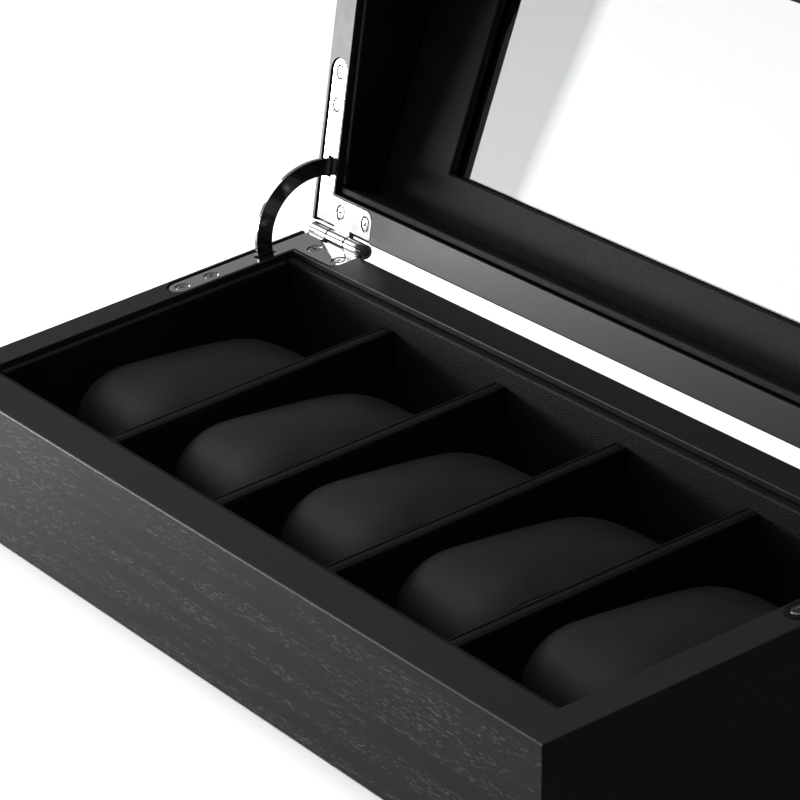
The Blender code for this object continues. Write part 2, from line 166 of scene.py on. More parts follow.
def make_rim_lacquer():
    """Black lacquer rubbed to satin on the cut rims: the fillers close the grain, so it is nearly
    smooth, with faint waves from rubbing."""
    material, tree, shader = new_finish("rubbed_black_lacquer", Base_Color=srgb("131313"), Roughness=0.36,
                                        Specular_IOR_Level=0.22)
    place = add(tree, "TexCoord").outputs["Object"]
    wave = add(tree, "TexNoise", {"Vector": place, "Scale": per(3.85), "Detail": 4.0})
    rough = add(tree, "MapRange", {"Value": wave.outputs["Fac"], "To Min": 0.31, "To Max": 0.41})
    tree.links.new(rough.outputs[0], shader.inputs["Roughness"])
    grit = add(tree, "TexNoise", {"Vector": place, "Scale": per(0.555), "Detail": 2.0})
    bump = add(tree, "Bump", {"Height": grit.outputs["Fac"], "Strength": 0.2, "Distance": 0.00002})
    tree.links.new(bump.outputs[0], shader.inputs["Normal"])
    return material


def make_leather(name, colour, pebble_mm, depth, roughness, shine):
    """Black calfskin with a fine printed grain: small rounded pebbles with creases between them.
    The tops of the pebbles are polished and the creases stay dull."""
    material, tree, shader = new_finish(name, Roughness=roughness, Specular_IOR_Level=shine)
    place = add(tree, "TexCoord").outputs["Object"]
    warp = add(tree, "TexNoise", {"Vector": place, "Scale": per(2.0), "Detail": 2.0})
    bent = add(tree, "MixRGB", {0: 0.0006, 1: place, 2: warp.outputs["Color"]}, blend_type="ADD")
    pebbles = add(tree, "TexVoronoi", {"Vector": bent.outputs[0], "Scale": per(pebble_mm)},
                  feature="DISTANCE_TO_EDGE")
    crease = add(tree, "MapRange", {"Value": pebbles.outputs["Distance"], "From Max": 0.22})
    cloud = add(tree, "TexNoise", {"Vector": place, "Scale": per(11.1), "Detail": 5.0})
    tone = add(tree, "MapRange", {"Value": cloud.outputs["Fac"], "From Min": 0.3, "From Max": 0.7})
    skin = add(tree, "Mix", {"Factor": tone.outputs[0], "A": srgb(colour[0]), "B": srgb(colour[1])},
               data_type="RGBA")
    tree.links.new(skin.outputs["Result"], shader.inputs["Base Color"])
    gloss = add(tree, "MapRange", {"Value": crease.outputs[0], "To Min": roughness + 0.14,
                                   "To Max": roughness})
    tree.links.new(gloss.outputs[0], shader.inputs["Roughness"])
    waves = add(tree, "Bump", {"Height": cloud.outputs["Fac"], "Strength": 0.25, "Distance": 0.0002})
    bump = add(tree, "Bump", {"Height": crease.outputs[0], "Strength": 0.6, "Distance": depth * MM,
                              "Normal": waves.outputs[0]})
    tree.links.new(bump.outputs[0], shader.inputs["Normal"])
    return material


def make_felt():
    """Pressed wool felt: matt, with short fibres in every direction."""
    material, tree, shader = new_finish("pressed_wool_felt", Roughness=0.95, Sheen_Weight=0.3)
    place = add(tree, "TexCoord").outputs["Object"]
    fibre = add(tree, "TexNoise", {"Vector": place, "Scale": per(0.714), "Detail": 4.0, "Distortion": 1.5})
    tone = add(tree, "Mix", {"Factor": fibre.outputs["Fac"], "A": srgb("0b0b0b"), "B": srgb("232323")},
               data_type="RGBA")
    tree.links.new(tone.outputs["Result"], shader.inputs["Base Color"])
    bump = add(tree, "Bump", {"Height": fibre.outputs["Fac"], "Strength": 0.8, "Distance": 0.0002})
    tree.links.new(bump.outputs[0], shader.inputs["Normal"])
    return material


def make_metal(name, colour, rough_low, rough_high):
    """Nickel plate on polished brass: mirror bright, with the faint haze and hairlines of handling."""
    material, tree, shader = new_finish(name, Base_Color=srgb(colour), Metallic=1.0, Roughness=rough_low)
    place = add(tree, "TexCoord").outputs["Object"]
    haze = add(tree, "TexNoise", {"Vector": place, "Scale": per(2.86), "Detail": 4.0})
    rough = add(tree, "MapRange", {"Value": haze.outputs["Fac"], "From Min": 0.3, "From Max": 0.7,
                                   "To Min": rough_low, "To Max": rough_high})
    tree.links.new(rough.outputs[0], shader.inputs["Roughness"])
    hair = add(tree, "TexNoise", {"Vector": place, "Scale": per(0.4), "Detail": 1.0})
    bump = add(tree, "Bump", {"Height": hair.outputs["Fac"], "Strength": 0.08, "Distance": 0.00002})
    tree.links.new(bump.outputs[0], shader.inputs["Normal"])
    return material


def make_glass():
    """Float glass, fire polished, with barely any waviness. Its smoke-grey tint is painted shade: it passes
    about half the light, darkening what shows through the window.
    """
    material, tree, shader = new_finish("float_glass", Base_Color=srgb("b9bbba"), Roughness=0.0, IOR=1.5,
                                        Transmission_Weight=1.0)
    place = add(tree, "TexCoord").outputs["Object"]
    ripple = add(tree, "TexNoise", {"Vector": place, "Scale": per(33.3), "Detail": 1.0})
    bump = add(tree, "Bump", {"Height": ripple.outputs["Fac"], "Strength": 0.02, "Distance": 0.0002})
    tree.links.new(bump.outputs[0], shader.inputs["Normal"])
    return material


# The pore glint colour is a painted highlight: bright on the front, back and top, dim on the ends, where
# the right end sits in shade.
OAK_LONG = make_oak("black_stained_oak", lambda along, across: (along, across, across), "3a3a3a", 0.05)
OAK_SIDE = make_oak("black_stained_oak_ends", lambda along, across: (across, along, across), "141414", 0.03)
LACQUER = make_rim_lacquer()
LINING_LEATHER = make_leather("printed_grain_calfskin", ("090909", "0d0d0d"), 0.8, 0.06, 0.52, 0.13)
PILLOW_LEATHER = make_leather("smooth_nappa_leather", ("0b0b0b", "101010"), 0.45, 0.025, 0.52, 0.37)
FELT = make_felt()
NICKEL = make_metal("polished_nickel_plate", "dcdcdc", 0.06, 0.13)
SCREW_NICKEL = make_metal("nickel_plated_screw", "cfcfcf", 0.12, 0.22)
# The glass's grey tint is painted shade over what shows through the window.
GLASS_WITH_PAINTED_SHADE = make_glass()


# ---- mesh helpers -------------------------------------------------------------------------------
def add_prism(bm, lower, upper):
    """A closed solid between two outlines with the same number of points."""
    low = [bm.verts.new(p) for p in lower]
    high = [bm.verts.new(p) for p in upper]
    bm.faces.new(list(reversed(low)))
    bm.faces.new(high)
    for i in range(len(low)):
        j = (i + 1) % len(low)
        bm.faces.new((low[i], low[j], high[j], high[i]))


def prism(lower, upper):
    bm = bmesh.new()
    add_prism(bm, lower, upper)
    return bm


def plan_block(plan, bottom, top):
    """A block on a plan outline, between two heights that may follow y."""
    return prism([(x, y, bottom(y)) for x, y in plan], [(x, y, top(y)) for x, y in plan])


def tube_of_rings(rings):
    """A closed ring-shaped solid through outlines, the last one joined back to the first."""
    bm = bmesh.new()
    rows = [[bm.verts.new(p) for p in ring] for ring in rings]
    for a, b in zip(rows, rows[1:] + rows[:1]):
        for i in range(len(a)):
            j = (i + 1) % len(a)
            bm.faces.new((a[i], a[j], b[j], b[i]))
    return bm


def skin_rows(bm, rows):
    """Close a tube of rows of points, with a face on each end."""
    bm.faces.new(rows[0])
    bm.faces.new(list(reversed(rows[-1])))
    size = len(rows[0])
    for a, b in zip(rows, rows[1:]):
        for k in range(size):
            n = (k + 1) % size
            bm.faces.new((a[k], a[n], b[n], b[k]))


def make_mesh(name, bm, materials):
    """A mesh in metres from millimetres, with its materials."""
    bmesh.ops.recalc_face_normals(bm, faces=bm.faces)
    bmesh.ops.scale(bm, verts=bm.verts, vec=(MM, MM, MM))
    mesh = bpy.data.meshes.new(name)
    bm.to_mesh(mesh)
    bm.free()
    for material in materials:
        mesh.materials.append(material)
    return mesh


def show(name, mesh, matrix=None):
    obj = bpy.data.objects.new(name, mesh)
    bpy.context.collection.objects.link(obj)
    if matrix is not None:
        obj.matrix_world = matrix
    return obj


def cut_mesh(mesh, cutters):
    """The mesh after cutting or joining other solids, given as (operation, bmesh)."""
    helpers = []
    body = show("work", mesh)
    for operation, bm in cutters:
        tool = show("tool", make_mesh("tool", bm, []))
        helpers.append(tool)
        modifier = body.modifiers.new("cut", "BOOLEAN")
        modifier.operation = operation
        modifier.solver = "EXACT"
        modifier.object = tool
    graph = bpy.context.evaluated_depsgraph_get()
    result = bpy.data.meshes.new_from_object(body.evaluated_get(graph))
    for helper in [body] + helpers:
        bpy.data.objects.remove(helper, do_unlink=True)
    return result


def ease(obj, width_mm, angle=30, segments=3, weighted=False):
    """Round the sharp edges a little, and keep the flats flat."""
    obj.data.shade_smooth()
    if weighted:
        obj.data.set_sharp_from_angle(angle=math.radians(angle))
    bevel = obj.modifiers.new("eased_edges", "BEVEL")
    bevel.width = width_mm * MM
    bevel.segments = segments
    bevel.limit_method = "WEIGHT" if weighted else "ANGLE"
    bevel.angle_limit = math.radians(angle)
    bevel.harden_normals = True


def weight_edges(mesh, planes, weight_of):
    """Mark for easing the edges that lie on two of the named planes at both ends."""
    weights = mesh.attributes.new("bevel_weight_edge", "FLOAT", "EDGE")
    held = [{name for name, test in planes.items() if test(v.co / MM)} for v in mesh.vertices]
    for edge in mesh.edges:
        shared = held[edge.vertices[0]] & held[edge.vertices[1]]
        if len(shared) >= 2:
            weights.data[edge.index].value = weight_of(shared)


def arc(centre, radius, start, end, steps):
    """Points on an arc, from one angle in degrees to another."""
    points = []
    for i in range(steps + 1):
        turn = math.radians(start + (end - start) * i / steps)
        points.append((centre[0] + radius * math.cos(turn), centre[1] + radius * math.sin(turn)))
    return points


def settle(obj, body, slot, *nodes):
    """Say what a finished piece rides on and the plain solids that it stands for. Its finish (slot) is not
    used.
    """
    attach(obj, body)
    if nodes:
        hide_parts(*nodes)
    return obj


# ---- hinge geometry -----------------------------------------------------------------------------
def leaf_plan(grow_outer=0.0, grow=0.0, back=LEAF_BACK, tabs=()):
    """L-shaped leaf with round ends, grown all round for its pocket, with tabs to the barrel."""
    x0, x1 = LEAF_OUTER - grow_outer, LEAF_INNER + grow
    tip, short_tip, short_edge = LEAF_LONG + grow, LEAF_SHORT + grow, LEAF_SHORT_WIDTH + grow
    radius, corner = (x1 - x0) / 2, 3.0
    plan = [(x0, back)]
    plan += arc(((x0 + x1) / 2, tip - radius), radius, 180, 0, 18)
    plan += arc((x1 + 0.6, short_edge + 0.6), 0.6, 180, 270, 4)
    plan += arc((short_tip - corner, short_edge - corner), corner, 90, 0, 10)
    plan += [(short_tip, back)]
    for start, end in reversed(tabs):
        plan += [(end - TAB_HOLD, back), (end - TAB_HOLD, -AXIS_BEHIND)]
        plan += [(start + TAB_HOLD, -AXIS_BEHIND), (start + TAB_HOLD, back)]
    return plan


def side_map(side, in_lid):
    """Turn a leaf's own (inward, along, out) into box millimetres; the lid's is its mirror."""
    def place(inward, along, out):
        return rim_point(side, inward, along, LID_GAP - out if in_lid else out)
    return place


def slab(place, plan, low, high):
    return prism([place(x, s, low) for x, s in plan], [place(x, s, high) for x, s in plan])


def barrel_cylinder(side, spans, radius, chamfer=0.0, sides=32):
    """Turned pieces along the hinge axis, one for each (start, end), with chamfered ends."""
    bm = bmesh.new()
    for start, end in spans:
        rows = []
        for inward, r in ((start, radius - chamfer), (start + chamfer, radius),
                          (end - chamfer, radius), (end, radius - chamfer)):
            x = side * (HALF_W - inward)
            rows.append([bm.verts.new((x, AXIS.y + r * math.cos(2 * math.pi * k / sides),
                                       AXIS.z + r * math.sin(2 * math.pi * k / sides)))
                         for k in range(sides)])
        skin_rows(bm, rows)
    return bm


def knuckle_spans():
    start, end = BARREL
    length = (end - start - 2 * FIT) / 3
    spans = [(start + i * (length + FIT), start + i * (length + FIT) + length) for i in range(3)]
    return {"base": [spans[0], spans[2]], "lid": [spans[1]]}


def curved_bar(side, inner, outer, start, end, half_thick, steps):
    """A flat bar bent about the hinge axis, between two angles seen from the side."""
    middle = side * (HALF_W - STAY_MIDDLE)
    bm = bmesh.new()
    sections = []
    for i in range(steps + 1):
        turn = start + (end - start) * i / steps
        c, s = math.cos(turn), math.sin(turn)
        corners = ((-half_thick, inner), (half_thick, inner), (half_thick, outer), (-half_thick, outer))
        sections.append([bm.verts.new((middle + dx, AXIS.y + r * c, AXIS.z + r * s)) for dx, r in corners])
    skin_rows(bm, sections)
    return bm


def slot_cutters(side, in_lid):
    """The pocket for a leaf, and the curved slot for the stay behind it."""
    place = side_map(side, in_lid)
    inner, outer = STAY_RADII
    reach = RIM_ANGLE - OPEN_ANGLE
    travel = OPEN_ANGLE * STAY_RATIO
    engaged, spare = math.radians(STAY_ENGAGED), math.radians(1.6)
    if in_lid:
        span = (reach - engaged + travel - spare, RIM_ANGLE + math.radians(5))
    else:
        span = (RIM_ANGLE - math.radians(5), RIM_ANGLE + engaged + travel + spare)
    pocket = slab(place, leaf_plan(POCKET_SIDE, FIT, -3), -LEAF_THICK - FIT, 1.5)
    slot = curved_bar(side, inner - 0.6, outer + 0.6, *span, STAY_THICK / 2 + SLOT_SIDE, 20)
    return [("DIFFERENCE", pocket), ("DIFFERENCE", slot)]


# ---- the oak case -------------------------------------------------------------------------------
def rectangle(x0, y0, x1, y1):
    return [(x0, y0), (x1, y0), (x1, y1), (x0, y1)]


OUTSIDE = rectangle(-HALF_W, -HALF_D, HALF_W, HALF_D)
INSIDE = rectangle(-HALF_W + WALL, -HALF_D + WALL, HALF_W - WALL, HALF_D - BACK_WALL)
WINDOW = rectangle(-HALF_W + WINDOW_SIDE, -HALF_D + WINDOW_FRONT,
                   HALF_W - WINDOW_SIDE, HALF_D - WINDOW_BACK)


def at(plan, height):
    return [(x, y, height(y) if callable(height) else height) for x, y in plan]


def case_planes(rim_offset):
    """Tests for the planes whose meeting edges are eased on the case."""
    near = 0.02
    return {
        "left": lambda p: abs(p.x + HALF_W) < near,
        "right": lambda p: abs(p.x - HALF_W) < near,
        "front": lambda p: abs(p.y + HALF_D) < near,
        "back": lambda p: abs(p.y - HALF_D) < near,
        "rim": lambda p: abs(p.z - rim_z(p.y, rim_offset)) < near,
        "top": lambda p: abs(p.z - HEIGHT) < near,
        "foot": lambda p: abs(p.z - WALL_FOOT) < near,
        "in_left": lambda p: abs(p.x + HALF_W - WALL) < near,
        "in_right": lambda p: abs(p.x - HALF_W + WALL) < near,
        "in_front": lambda p: abs(p.y + HALF_D - WALL) < near,
        "in_back": lambda p: abs(p.y - HALF_D + BACK_WALL) < near,
        "pane_side": lambda p: abs(abs(p.x) - HALF_W + WINDOW_SIDE) < near,
        "pane_front": lambda p: abs(p.y + HALF_D - WINDOW_FRONT) < near,
        "pane_back": lambda p: abs(p.y - HALF_D + WINDOW_BACK) < near,
    }


def lay_veneer(mesh):
    """Veneer with its grain along each outer face, and lacquer on the rims and inside."""
    for face in mesh.polygons:
        centre, normal = face.center / MM, face.normal
        face.material_index = 2
        if abs(abs(centre.x) - HALF_W) < 0.05 and abs(normal.x) > 0.9:
            face.material_index = 1
        elif abs(abs(centre.y) - HALF_D) < 0.05 or (abs(centre.z - HEIGHT) < 0.05 and normal.z > 0.9):
            face.material_index = 0


def make_case(name, rings, rim_offset, in_lid, matrix, body, nodes):
    mesh = make_mesh(name, tube_of_rings(rings), [OAK_LONG, OAK_SIDE, LACQUER])
    cutters = [c for side in (-1, 1) for c in slot_cutters(side, in_lid)]
    mesh = cut_mesh(mesh, cutters)
    mesh.name = name
    lay_veneer(mesh)
    outer = {"left", "right", "front", "back", "top", "foot"}
    weight_edges(mesh, case_planes(rim_offset), lambda shared: 1.0 if shared & outer else 0.6)
    obj = show(name, mesh, matrix)
    ease(obj, 0.5, weighted=True, segments=4)
    return settle(obj, body, "black_oak", *nodes)


SIDES = ("front", "back", "left", "right")
make_case("case_shell",
          [at(OUTSIDE, WALL_FOOT), at(OUTSIDE, rim_z), at(INSIDE, rim_z), at(INSIDE, WALL_FOOT)],
          0.0, False, None, "base", [f"base_{side}_wall" for side in SIDES])
lid_rim = lambda y: rim_z(y, LID_GAP)
make_case("lid_shell",
          [at(OUTSIDE, lid_rim), at(OUTSIDE, HEIGHT), at(WINDOW, HEIGHT), at(WINDOW, TOP_UNDERSIDE),
           at(INSIDE, TOP_UNDERSIDE), at(INSIDE, lid_rim)],
          LID_GAP, True, SWING, "lid", [f"lid_{side}_rail" for side in SIDES] + ["lid_top_panel"])


# ---- linings ------------------------------------------------------------------------------------
def liner_plans():
    outer_x = HALF_W - WALL - FIT
    front, back = -HALF_D + WALL + FIT, HALF_D - BACK_WALL - FIT
    plans = {"front": rectangle(-outer_x, front, outer_x, front + LINER),
             "back": rectangle(-outer_x, back - LINER, outer_x, back)}
    for name, side in (("left", -1), ("right", 1)):
        x0, x1 = sorted((side * outer_x, side * (outer_x - LINER)))
        plans[name] = rectangle(x0, front + LINER + FIT, x1, back - LINER - FIT)
    return plans


def line_case():
    """Thin boards covered in leather, with the edges rolled over."""
    for name, plan in liner_plans().items():
        bm = plan_block(plan, lambda y: FLOOR_TOP + FIT, lambda y: rim_z(y, -LINER_DROP))
        obj = show(f"case_lining_{name}", make_mesh("lining", bm, [LINING_LEATHER]))
        ease(obj, 0.75, segments=4)
        settle(obj, "base", "black_leather", f"base_liner_{name}")
        bm = plan_block(plan, lambda y: rim_z(y, LID_GAP + LINER_DROP), lambda y: FRAME_BOTTOM - FIT)
        obj = show(f"lid_lining_{name}", make_mesh("lining", bm, [LINING_LEATHER]), SWING)
        ease(obj, 0.75, segments=4)
        settle(obj, "lid", "black_leather", f"lid_liner_{name}")


def divider_section():
    """Top of a divider, seen from the front: two covered faces with a strip let in between them."""
    half, skin, groove, deep = DIVIDER / 2, 1.05, 0.3, 0.55
    right = [(half, -2.0)]
    right += [(half - 0.7 + 0.7 * math.cos(a), -0.7 + 0.7 * math.sin(a))
              for a in (math.pi * k / 12 for k in range(0, 6))]
    right += [(half - skin + 0.2, -0.02), (half - skin, -0.22), (half - skin, -deep),
              (half - skin - groove, -deep), (half - skin - groove, -0.3),
              (half - skin - groove - 0.2, -0.12)]
    left = [(-x, z) for x, z in reversed(right)]
    return right + left


def make_dividers():
    section = divider_section()
    y0, y1 = INNER_FRONT + FIT, INNER_BACK - FIT
    foot = FLOOR_TOP + FIT
    for i in range(1, BAYS):
        middle = -INNER_X + i * PITCH - DIVIDER / 2
        ends = []
        for y in (y0, y1):
            top = rim_z(y, -DIVIDER_DROP)
            outline = [(middle + x, y, top + z) for x, z in section]
            outline += [(middle - DIVIDER / 2, y, foot), (middle + DIVIDER / 2, y, foot)]
            ends.append(outline)
        obj = show(f"leather_divider_{i}", make_mesh("divider", prism(*ends), [LINING_LEATHER]))
        ease(obj, 0.08, segments=2, angle=25)
        settle(obj, "base", "black_leather", f"divider_{i}")


def make_window_frame():
    """Leather-covered board round the glass, its edges rolled."""
    edge = rectangle(-HALF_W + WALL + FIT, -HALF_D + WALL + FIT,
                     HALF_W - WALL - FIT, HALF_D - BACK_WALL - FIT)
    rings = [at(edge, FRAME_BOTTOM), at(edge, FRAME_TOP), at(WINDOW, FRAME_TOP), at(WINDOW, FRAME_BOTTOM)]
    obj = show("leather_window_frame", make_mesh("frame", tube_of_rings(rings), [LINING_LEATHER]), SWING)
    ease(obj, 0.9, segments=5)
    settle(obj, "lid", "black_leather", "lid_window_frame")


line_case()
make_dividers()
make_window_frame()


# ---- hinges -------------------------------------------------------------------------------------
def turned_rings(bm, profile, sides):
    """A turned solid on Z through (radius, height) pairs."""
    rows = [[bm.verts.new((r * math.cos(2 * math.pi * k / sides), r * math.sin(2 * math.pi * k / sides), z))
             for k in range(sides)] for r, z in profile]
    skin_rows(bm, rows)


def screw_mesh():
    """A countersunk screw with a cross recess, standing on its own Z with the head at 0."""
    bm = bmesh.new()
    profile = [(SCREW_HEAD - 0.55, -0.06), (SCREW_HEAD - 0.2, -0.12), (SCREW_HEAD - 0.06, -0.22),
               (SCREW_HEAD, -0.36), (SCREW_SHANK, -1.35), (SCREW_SHANK, -SCREW_LENGTH + 1.5),
               (0.15, -SCREW_LENGTH)]
    turned_rings(bm, profile, SCREW_SIDES)
    mesh = make_mesh("screw", bm, [SCREW_NICKEL])
    cutters = []
    for wide, tall in ((CROSS_LONG, CROSS_WIDE), (CROSS_WIDE, CROSS_LONG)):
        low = [(x * 0.35, y * 0.35, -1.05) for x, y in rectangle(-wide, -tall, wide, tall)]
        high = [(x, y, 0.1) for x, y in rectangle(-wide, -tall, wide, tall)]
        cutters.append(("DIFFERENCE", prism(low, high)))
    return cut_mesh(mesh, cutters)


def countersinks(place):
    """The cone under each screw head, with a ring left open round it."""
    bm = bmesh.new()
    head, shank = SCREW_HEAD + HEAD_RING, SCREW_SHANK + HEAD_RING
    for spot in SCREW_SPOTS:
        rows = []
        for radius, out in ((head, 0.3), (head, -0.3), (shank, -1.35), (shank, -2.4)):
            rows.append([bm.verts.new(place(spot[0] + radius * math.cos(2 * math.pi * k / SCREW_SIDES),
                                            spot[1] + radius * math.sin(2 * math.pi * k / SCREW_SIDES),
                                            out)) for k in range(SCREW_SIDES)])
        skin_rows(bm, rows)
    return bm


def make_hinge(side, name, screw):
    spans = knuckle_spans()
    inner, outer = STAY_RADII
    half_slot = STAY_THICK / 2 + SLOT_SIDE
    for half in ("base", "lid"):
        in_lid = half == "lid"
        place = side_map(side, in_lid)
        matrix = SWING if in_lid else Matrix.Identity(4)
        mesh = make_mesh("leaf", slab(place, leaf_plan(tabs=spans[half]), -LEAF_THICK, 0), [NICKEL])
        plan = rectangle(STAY_MIDDLE - half_slot, inner - AXIS_BEHIND - 0.6,
                         STAY_MIDDLE + half_slot, outer - AXIS_BEHIND + 0.6)
        mesh = cut_mesh(mesh, [
            ("UNION", barrel_cylinder(side, spans[half], KNUCKLE_RADIUS, 0.25)),
            ("DIFFERENCE", barrel_cylinder(side, [(BARREL[0] - 1, BARREL[1] + 1)], PIN_RADIUS + 0.12)),
            ("DIFFERENCE", slab(place, plan, -LEAF_THICK - 1, 1)),
            ("DIFFERENCE", countersinks(place))])
        leaf = show(f"{name}_{half}_hinge_leaf", mesh, matrix)
        mesh.shade_smooth()
        mesh.set_sharp_from_angle(angle=math.radians(32))
        settle(leaf, half, "polished_nickel", f"{name}_hinge_{half}_leaf")
        for number, spot in enumerate(SCREW_SPOTS, 1):
            out = -OUT_RIM if in_lid else OUT_RIM
            along = -UP_RIM
            turn = Matrix((along.cross(out), along, out)).transposed().to_4x4()
            spin = Matrix.Rotation(math.radians(37 * number + 20 * side), 4, "Z")
            seat = Matrix.Translation(place(*spot, -0.03) * MM) @ turn @ spin
            obj = show(f"{name}_{half}_hinge_screw_{number}", screw, matrix @ seat)
            settle(obj, half, "screw_steel", f"{name}_{half}_screw_{number}")
    pin = barrel_cylinder(side, [(BARREL[0] + 0.15, BARREL[1] - 0.15)], PIN_RADIUS, 0.3)
    obj = show(f"{name}_hinge_pin_turned", make_mesh("pin", pin, [SCREW_NICKEL]))
    obj.data.shade_smooth()
    obj.data.set_sharp_from_angle(angle=math.radians(32))
    settle(obj, "base", "screw_steel", f"{name}_hinge_pin")
    reach = RIM_ANGLE - OPEN_ANGLE
    engaged = math.radians(STAY_ENGAGED)
    bar = curved_bar(side, inner, outer, reach - engaged, RIM_ANGLE + engaged, STAY_THICK / 2, 48)
    stay = show(f"{name}_curved_stay", make_mesh("stay", bar, [NICKEL]))
    ease(stay, 0.3, segments=4)
    settle(stay, f"{name}_stay", "polished_nickel", f"{name}_stay_arm")


screw = screw_mesh()
screw.shade_smooth()
screw.set_sharp_from_angle(angle=math.radians(32))
for side, name in ((-1, "left"), (1, "right")):
    make_hinge(side, name, screw)


# ---- pillows ------------------------------------------------------------------------------------
PILLOW_SIDE_VIEW = ((-28.0, 20), (-26.6, 28.5), (-21.5, 35.2), (-13, 39.2), (0, 40.4), (14, 41.2),
                    (26, 41.0), (34, 38.4), (40, 34), (43.6, 26.5), (44.0, 18), (41.5, 11.5), (35, 8.6),
                    (20, 7.9), (0, 7.9), (-15, 8.2), (-23, 10.8), (-27, 15))
SEAM_HALF = 19.6            # seams to the middle of the pillow
SEAM_INSET = 1.9            # fall of the band from its crown to the seams
PANEL_REACH = 3.7           # side panels, foam pressed, beyond the seams
PANEL_SHARES = (0.25, 0.5, 0.7, 0.84, 0.92, 0.97)
BAND_ROWS = 21              # rows of points across the band, from seam to seam
PILLOW_HEART = Vector((0, 8.2, 24.5))
PILLOW_TILTS = (0.5, -0.4, 0.3, -0.5, 0.2)     # degrees that each pillow has been left turned
SIM_SCALE = 8.0             # the cover is simulated this much larger, where cloth behaves better
SIM_FRAMES = 20
PUFF_LIMIT = 1.1            # furthest that the foam may press the leather out


def closed_curve(points, count):
    """Evenly spaced points on a smooth closed curve through the given ones."""
    dense = []
    size = len(points)
    for i in range(size):
        p = [Vector(points[(i + k - 1) % size]) for k in range(4)]
        for j in range(24):
            t = j / 24
            linear = (p[2] - p[0]) * t
            square = (2 * p[0] - 5 * p[1] + 4 * p[2] - p[3]) * t * t
            cubic = (3 * p[1] - p[0] - 3 * p[2] + p[3]) * t ** 3
            dense.append(0.5 * (2 * p[1] + linear + square + cubic))
    lengths = [0.0]
    for a, b in zip(dense, dense[1:] + dense[:1]):
        lengths.append(lengths[-1] + (b - a).length)
    result = []
    k = 0
    for i in range(count):
        want = lengths[-1] * i / count
        while lengths[k + 1] < want:
            k += 1
        t = (want - lengths[k]) / (lengths[k + 1] - lengths[k])
        result.append(dense[k].lerp(dense[(k + 1) % len(dense)], t))
    return result


def pillow_rows(count=96):
    """Rows of points from the middle of one side panel, over the band, to the other side's."""
    outline = closed_curve(PILLOW_SIDE_VIEW, count)
    middle = sum(outline, Vector((0, 0))) / count
    normals = []
    for i in range(count):
        step = outline[(i + 1) % count] - outline[i - 1]
        normals.append(Vector((step.y, -step.x)).normalized())
    if (outline[0] - middle).dot(normals[0]) > 0:
        normals = [-n for n in normals]
    seam = [p + n * SEAM_INSET for p, n in zip(outline, normals)]
    rows = []
    for share in PANEL_SHARES:
        reach = SEAM_HALF + PANEL_REACH * math.sqrt(1 - share ** 8)
        rows.append([(-reach, middle.lerp(p, share)) for p in seam])
    panels = list(rows)
    for k in range(BAND_ROWS):
        place = -1 + 2 * k / (BAND_ROWS - 1)
        inset = SEAM_INSET * abs(place) ** 4
        rows.append([(place * SEAM_HALF, p + n * inset) for p, n in zip(outline, normals)])
    rows += [[(-x, p) for x, p in row] for row in reversed(panels)]
    caps = [(-SEAM_HALF - PANEL_REACH, middle), (SEAM_HALF + PANEL_REACH, middle)]
    rows = [[Vector((x, p.x, p.y)) for x, p in row] for row in rows]
    return rows, [Vector((x, p.x, p.y)) for x, p in caps]


SEAM_ROWS = (len(PANEL_SHARES), len(PANEL_SHARES) + BAND_ROWS - 1)


def mesh_of_rows(rows, caps):
    bm = bmesh.new()
    verts = [[bm.verts.new(p) for p in row] for row in rows]
    count = len(rows[0])
    for a, b in zip(verts, verts[1:]):
        for k in range(count):
            n = (k + 1) % count
            bm.faces.new((a[k], a[n], b[n], b[k]))
    for cap, row in ((caps[0], verts[0]), (caps[1], verts[-1])):
        tip = bm.verts.new(cap)
        for k in range(count):
            bm.faces.new((row[k], row[(k + 1) % count], tip))
    return bm


def puff(rows, caps):
    """Press the leather out from inside with the seams held, as the foam does, by cloth simulation."""
    bm = mesh_of_rows(rows, caps)
    bmesh.ops.scale(bm, verts=bm.verts, vec=(SIM_SCALE,) * 3)
    cover = show("pillow_cover", make_mesh("cover", bm, []))
    count = len(rows[0])
    held = cover.vertex_groups.new(name="seams")
    held.add([row * count + k for row in SEAM_ROWS for k in range(count)], 1.0, "REPLACE")
    start = [v.co.copy() for v in cover.data.vertices]
    cloth = cover.modifiers.new("cloth", "CLOTH")
    cloth.settings.use_pressure = True
    cloth.settings.uniform_pressure_force = 4.0
    cloth.settings.effector_weights.gravity = 0.0
    cloth.settings.vertex_group_mass = "seams"
    cloth.settings.quality = 6
    cloth.point_cache.frame_start = 1
    cloth.point_cache.frame_end = SIM_FRAMES
    scene = bpy.context.scene
    for step in range(1, SIM_FRAMES + 1):
        scene.frame_set(step)
    graph = bpy.context.evaluated_depsgraph_get()
    moved = [v.co.copy() for v in cover.evaluated_get(graph).data.vertices]
    scene.frame_set(1)
    bpy.data.objects.remove(cover, do_unlink=True)
    points = []
    for a, b in zip(start, moved):
        step = (b - a) / (MM * SIM_SCALE)
        if step.length > PUFF_LIMIT:
            step *= PUFF_LIMIT / step.length
        points.append(a / (MM * SIM_SCALE) + step)
    total = len(rows) * count
    return [points[i:i + count] for i in range(0, total, count)], points[total:]


def sew(rows):
    """Add the sunk seam line between each side panel and the band."""
    result = []
    for index, row in enumerate(rows):
        if index in SEAM_ROWS:
            before, after = rows[index - 1], rows[index + 1]
            near = [[p.lerp(q, min(1.0, gap / max((q - p).length, 0.01))) for p, q in zip(row, other)]
                    for other, gap in ((before, 0.75), (before, 0.3), (after, 0.3), (after, 0.75))]
            sunk = []
            for p in row:
                inward = Vector((-0.35 if p.x > 0 else 0.35, (PILLOW_HEART.y - p.y) / 40,
                                 (PILLOW_HEART.z - p.z) / 24))
                sunk.append(p + inward.normalized() * 0.5)
            result += [near[0], near[1], sunk, near[2], near[3]]
        else:
            result.append(row)
    return result


